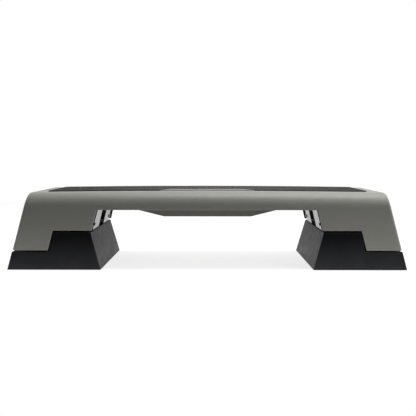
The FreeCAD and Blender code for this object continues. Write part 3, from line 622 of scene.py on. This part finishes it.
class STEP_OT_mat(Operator):
    """Model the studded rubber mat on the deck's top"""

    bl_idname = "step.mat"
    bl_label = "Studded mat"

    def execute(self, context):
        size = context.scene.step_mat
        low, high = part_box("top_mat")
        sheet = self.rimmed_sheet(size)
        studs = self.stud_field(size, low, high)
        dark = self.rubber("Mat stud rubber", size.rubber)
        dress(studs, dark)
        dress(sheet, dark)
        # The grooves get a paler copy of the studs' rubber: painted highlight
        sheet.data.materials.append(self.rubber("Mat groove rubber", size.groove))
        for face in sheet.data.polygons:
            face.material_index = int(face.select)
        select_only(sheet)
        studs.select_set(True)
        bpy.ops.object.join()
        smooth(sheet, degrees=30)
        stand_in(sheet, "top_mat")
        return {"FINISHED"}

    def rimmed_sheet(self, size):
        """The sheet with a raised rim, and with the lower field inside it left selected."""
        sheet = merged_copy("top_mat", "studded_mat")
        chamfer_top(sheet, size.edge)
        pick_top(sheet)
        bpy.ops.mesh.inset(thickness=size.rim, depth=0)
        bpy.ops.mesh.inset(thickness=size.step, depth=-size.stud_height)
        leave_edit()
        return sheet

    def stud_field(self, size, low, high):
        """All the studs that the mat has room for, as one mesh."""
        start = (-(size.columns - 1) * size.pitch / 2, -(size.rows - 1) * size.pitch / 2)
        studs = self.first_stud(size, start, high.z)
        self.repeat(studs, size.columns, size.pitch, ALONG, start)
        self.drape(studs, size, start)
        self.repeat(studs, size.rows, size.pitch, ACROSS, start)
        steps = np.round((points(studs.data)[:, :2] - start) / size.pitch)
        centre = start + steps * size.pitch
        pick_points(studs, ~self.on_mat(size, centre, low, high))
        bpy.ops.mesh.delete(type="VERT")
        leave_edit()
        return studs

    def first_stud(self, size, start, top):
        foot = top - size.stud_height - size.stud_root
        wall = top - size.stud_edge / 2 - foot
        bpy.ops.object.select_all(action="DESELECT")
        bpy.ops.mesh.primitive_cube_add(size=1, location=(*start, foot + wall / 2))
        stud = bpy.context.object
        stud.name = stud.data.name = "studs"
        stud.scale = (size.stud_width, size.stud_width, wall)
        bpy.ops.object.transform_apply(location=True, rotation=True, scale=True)
        pick_top(stud)
        bpy.ops.mesh.inset(thickness=size.stud_edge, depth=size.stud_edge / 2)
        leave_edit()
        return stud

    def repeat(self, studs, wanted, pitch, axis, start):
        """Copy the studs along an axis until that many stand there, doubling them as far as that goes."""
        have = 1
        while have < wanted:
            more = min(have, wanted - have)
            move = [0.0, 0.0, 0.0]
            move[axis] = have * pitch
            pick_points(studs, points(studs.data)[:, axis] < start[axis] + (more - 0.5) * pitch)
            bpy.ops.mesh.duplicate()
            bpy.ops.transform.translate(value=move)
            leave_edit()
            have += more

    def drape(self, studs, size, start):
        """Lower each pair of studs, left and right, to the deck's crown."""
        for column in range(size.columns // 2):
            middle = start[ALONG] + column * size.pitch
            x = np.abs(points(studs.data)[:, ALONG])
            pick_points(studs, np.abs(x + middle) < size.pitch / 2)
            bpy.ops.transform.translate(value=(0, 0, -middle * middle / (2 * size.crown)))
            leave_edit()

    def on_mat(self, size, centre, low, high):
        """Whether a stud with its centre there keeps clear of the mat's edge and of the plate."""
        clear = size.stud_width / 2 + size.border
        plate_low, plate_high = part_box("front_plate")
        x, y = np.abs(centre[:, ALONG]), centre[:, ACROSS]
        inside = (x < high.x - clear) & (y < high.y - clear) & (y > low.y + clear)
        lean = size.plate_taper * (y - plate_low.y) / (plate_high.y - plate_low.y)
        beside = x > plate_high.x - lean + clear
        behind = y > plate_high.y + clear
        return inside & (beside | behind)

    def rubber(self, name, rgb):
        """A dull grained rubber, worn pale in places."""
        material, tree, shader = new_material(name)
        place = object_place(tree)
        cloud = noise(tree, place, scale=30.0, detail=3)
        grain = noise(tree, place, scale=1500.0, detail=2)
        worn = spread(tree, noise(tree, place, scale=3.0, detail=3), (0.42, 0.68), (0.0, 0.6))
        pale = solid(rgb, factor=1.5)
        tone = blend_colours(tree, product(tree, worn, cloud), solid(rgb), pale)
        put(tree, shader.inputs["Base Color"], tone)
        put(tree, shader.inputs["Roughness"], spread(tree, cloud, NOISE_RANGE, (0.62, 0.80)))
        put(tree, shader.inputs["Specular IOR Level"], 0.05)
        bump(tree, shader, grain, strength=0.3, distance=GRAIN_DEPTH)
        return material


class STEP_OT_plate(Operator):
    """Model the bare plate at the mat's front edge"""

    bl_idname = "step.plate"
    bl_label = "Bare plate"

    def execute(self, context):
        size = context.scene.step_plate
        look = context.scene.step_moulding
        plate = merged_copy("front_plate", "bare_plate")
        pick_top(plate)
        bpy.ops.mesh.dissolve_limited(angle_limit=LEVEL_ANGLE)
        leave_edit()
        chamfer_top(plate, size.edge)
        pick_top(plate)
        bpy.ops.mesh.inset(thickness=size.rim, depth=0)
        bpy.ops.mesh.inset(thickness=size.recess, depth=-size.recess)
        leave_edit()
        smooth(plate, degrees=35)
        plastic = moulded_plastic(
            "Plate plastic",
            size.plastic,
            mottle=look.mottle,
            gloss=(0.30, 0.42),
            grain=1400,
            relief=0.12,
            layers=(
                rubbed(size.plastic, amount=0.35),
                dusty(look.dust, amount=look.dusting),
            ),
            shine=0.25,
        )
        dress(plate, plastic)
        stand_in(plate, "front_plate")
        return {"FINISHED"}


class STEP_OT_risers(Operator):
    """Give the riser blocks their grained black plastic"""

    bl_idname = "step.risers"
    bl_label = "Riser blocks"

    def execute(self, context):
        look = context.scene.step_moulding
        plastic = moulded_plastic(
            "Riser plastic",
            look.riser,
            mottle=2 * look.mottle,
            gloss=(0.36, 0.50),
            grain=750,
            relief=0.35,
            layers=(
                rubbed(look.riser, amount=0.3),
                dusty(look.dust, amount=0.3 * look.dusting),
                # Painted light from the floor on the risers' feet
                filmed(look.grime, height=look.film_height, amount=look.film),
            ),
            shine=0.06,
        )
        finish_nodes(plastic, "left_riser", "right_riser")
        return {"FINISHED"}


class STEP_OT_covers(Operator):
    """Give the leg covers their smoother dark plastic"""

    bl_idname = "step.covers"
    bl_label = "Leg covers"

    def execute(self, context):
        look = context.scene.step_moulding
        plastic = moulded_plastic(
            "Cover plastic",
            look.cover,
            mottle=look.mottle,
            gloss=(0.20, 0.30),
            grain=1600,
            relief=0.06,
            layers=(rubbed(look.cover, amount=0.2),),
        )
        finish_nodes(plastic, "left_leg_cover", "right_leg_cover")
        return {"FINISHED"}


class STEP_OT_fittings(Operator):
    """Give the rubber feet and the plated screws their finish"""

    bl_idname = "step.fittings"
    bl_label = "Feet and screws"

    def execute(self, context):
        look = context.scene.step_fittings
        rubber = moulded_plastic(
            "Foot rubber", look.rubber, mottle=0.15, gloss=(0.62, 0.82), grain=1300, relief=0.4
        )
        finish_nodes(rubber, *nodes_ending("_foot"))
        finish_nodes(self.plated_steel(look.steel), *nodes_ending("_screws"))
        return {"FINISHED"}

    def plated_steel(self, rgb):
        """Bright plating with a tarnish that comes and goes."""
        material, tree, shader = new_material("Screw steel")
        place = object_place(tree)
        film = noise(tree, place, scale=260.0, detail=3)
        ripple = noise(tree, place, scale=2500.0, detail=1)
        tarnish = solid(rgb, factor=0.62)
        tone = blend_colours(tree, spread(tree, film, (0.4, 0.7), NONE_TO_ALL), solid(rgb), tarnish)
        put(tree, shader.inputs["Base Color"], tone)
        put(tree, shader.inputs["Roughness"], spread(tree, film, NOISE_RANGE, (0.25, 0.42)))
        put(tree, shader.inputs["Metallic"], 1.0)
        bump(tree, shader, ripple, strength=0.1, distance=PLATING_DEPTH)
        return material


class STEP_OT_stage(Operator):
    """Set the pale floor, the soft light and the camera"""

    bl_idname = "step.stage"
    bl_label = "Stage"

    def execute(self, context):
        look = context.scene.step_stage
        self.lay_floor(look)
        self.soft_light("Key", look.key_power, look.key_place, look.key_size, look.key_turn)
        self.soft_light("Side", look.side_power, look.side_place, look.side_size, look.side_turn)
        self.light_room(context.scene, look)
        self.set_camera(context.scene, look)
        context.scene.view_settings.view_transform = "Standard"
        return {"FINISHED"}

    def lay_floor(self, look):
        bpy.ops.object.select_all(action="DESELECT")
        middle = (look.floor_back - look.floor_front) / 2
        bpy.ops.mesh.primitive_plane_add(size=2, location=(0, middle, 0))
        floor = bpy.context.object
        floor.name = floor.data.name = "floor"
        floor.scale = (look.floor_side, look.floor_back - middle, 1)
        bpy.ops.object.transform_apply(location=True, rotation=True, scale=True)
        floor.data.materials.append(self.floor_paint(look))

    def floor_paint(self, look):
        """A dull pale paint with a light of its own."""
        material, tree, shader = new_material("Floor paint")
        cloud = noise(tree, object_place(tree), scale=3.0, detail=2)
        tone = blend_colours(tree, cloud, solid(look.floor), solid(look.floor, factor=0.97))
        put(tree, shader.inputs["Base Color"], tone)
        put(tree, shader.inputs["Roughness"], 0.9)
        put(tree, shader.inputs["Specular IOR Level"], 0.1)
        put(tree, shader.inputs["Emission Color"], WHITE)
        put(tree, shader.inputs["Emission Strength"], look.floor_glow)
        return material

    def soft_light(self, name, strength, place, size, turn):
        data = bpy.data.lights.new(name, "AREA")
        data.shape = "RECTANGLE"
        data.size, data.size_y = size
        data.energy = strength
        lamp = bpy.data.objects.new(name, data)
        lamp.location = place
        lamp.rotation_euler = turn
        bpy.context.scene.collection.objects.link(lamp)

    def light_room(self, scene, look):
        """A pale room behind the step and a dim one in front of it, which the camera sees as white."""
        world = bpy.data.worlds.new("Studio")
        world.use_nodes = True
        tree = world.node_tree
        depth = axes(tree, tree.nodes.new("ShaderNodeTexCoord").outputs["Generated"])["Y"]
        room = tree.nodes["Background"]
        put(tree, room.inputs["Color"], WHITE)
        put(tree, room.inputs["Strength"], spread(tree, depth, ROOM_FADE, (look.room, look.backdrop)))
        seen = tree.nodes.new("ShaderNodeBackground")
        put(tree, seen.inputs["Color"], WHITE)
        both = tree.nodes.new("ShaderNodeMixShader")
        put(tree, both.inputs["Fac"], tree.nodes.new("ShaderNodeLightPath").outputs["Is Camera Ray"])
        put(tree, both.inputs[1], room.outputs["Background"])
        put(tree, both.inputs[2], seen.outputs["Background"])
        put(tree, tree.nodes["World Output"].inputs["Surface"], both.outputs["Shader"])
        scene.world = world

    def set_camera(self, scene, look):
        data = bpy.data.cameras.new("Camera")
        data.lens = look.lens
        data.sensor_width = SENSOR_WIDTH
        camera = bpy.data.objects.new("Camera", data)
        camera.location = look.eye
        camera.rotation_euler = look.aim
        scene.collection.objects.link(camera)
        scene.camera = camera


OPERATORS = (
    STEP_OT_deck,
    STEP_OT_mat,
    STEP_OT_plate,
    STEP_OT_risers,
    STEP_OT_covers,
    STEP_OT_fittings,
    STEP_OT_stage,
)


class STEP_PT_panel(Panel):
    """Lists the steps that build the platform"""

    bl_idname = "STEP_PT_panel"
    bl_label = "Aerobic step"
    bl_space_type = "VIEW_3D"
    bl_region_type = "UI"
    bl_category = "Step"

    def draw(self, context):
        for operator in OPERATORS:
            self.layout.operator(operator.bl_idname)


SETTINGS = (
    ("step_mat", STEP_PG_mat),
    ("step_plate", STEP_PG_plate),
    ("step_moulding", STEP_PG_moulding),
    ("step_fittings", STEP_PG_fittings),
    ("step_stage", STEP_PG_stage),
)


def register():
    for name, group in SETTINGS:
        bpy.utils.register_class(group)
        setattr(bpy.types.Scene, name, PointerProperty(type=group))
    for cls in (*OPERATORS, STEP_PT_panel):
        bpy.utils.register_class(cls)


def unregister():
    for cls in reversed((*OPERATORS, STEP_PT_panel)):
        bpy.utils.unregister_class(cls)
    for name, group in reversed(SETTINGS):
        delattr(bpy.types.Scene, name)
        bpy.utils.unregister_class(group)


def main():
    register()
    bpy.ops.step.deck()
    bpy.ops.step.mat()
    bpy.ops.step.plate()
    bpy.ops.step.risers()
    bpy.ops.step.covers()
    bpy.ops.step.fittings()
    bpy.ops.step.stage()


if __name__ == "__main__":
    main()
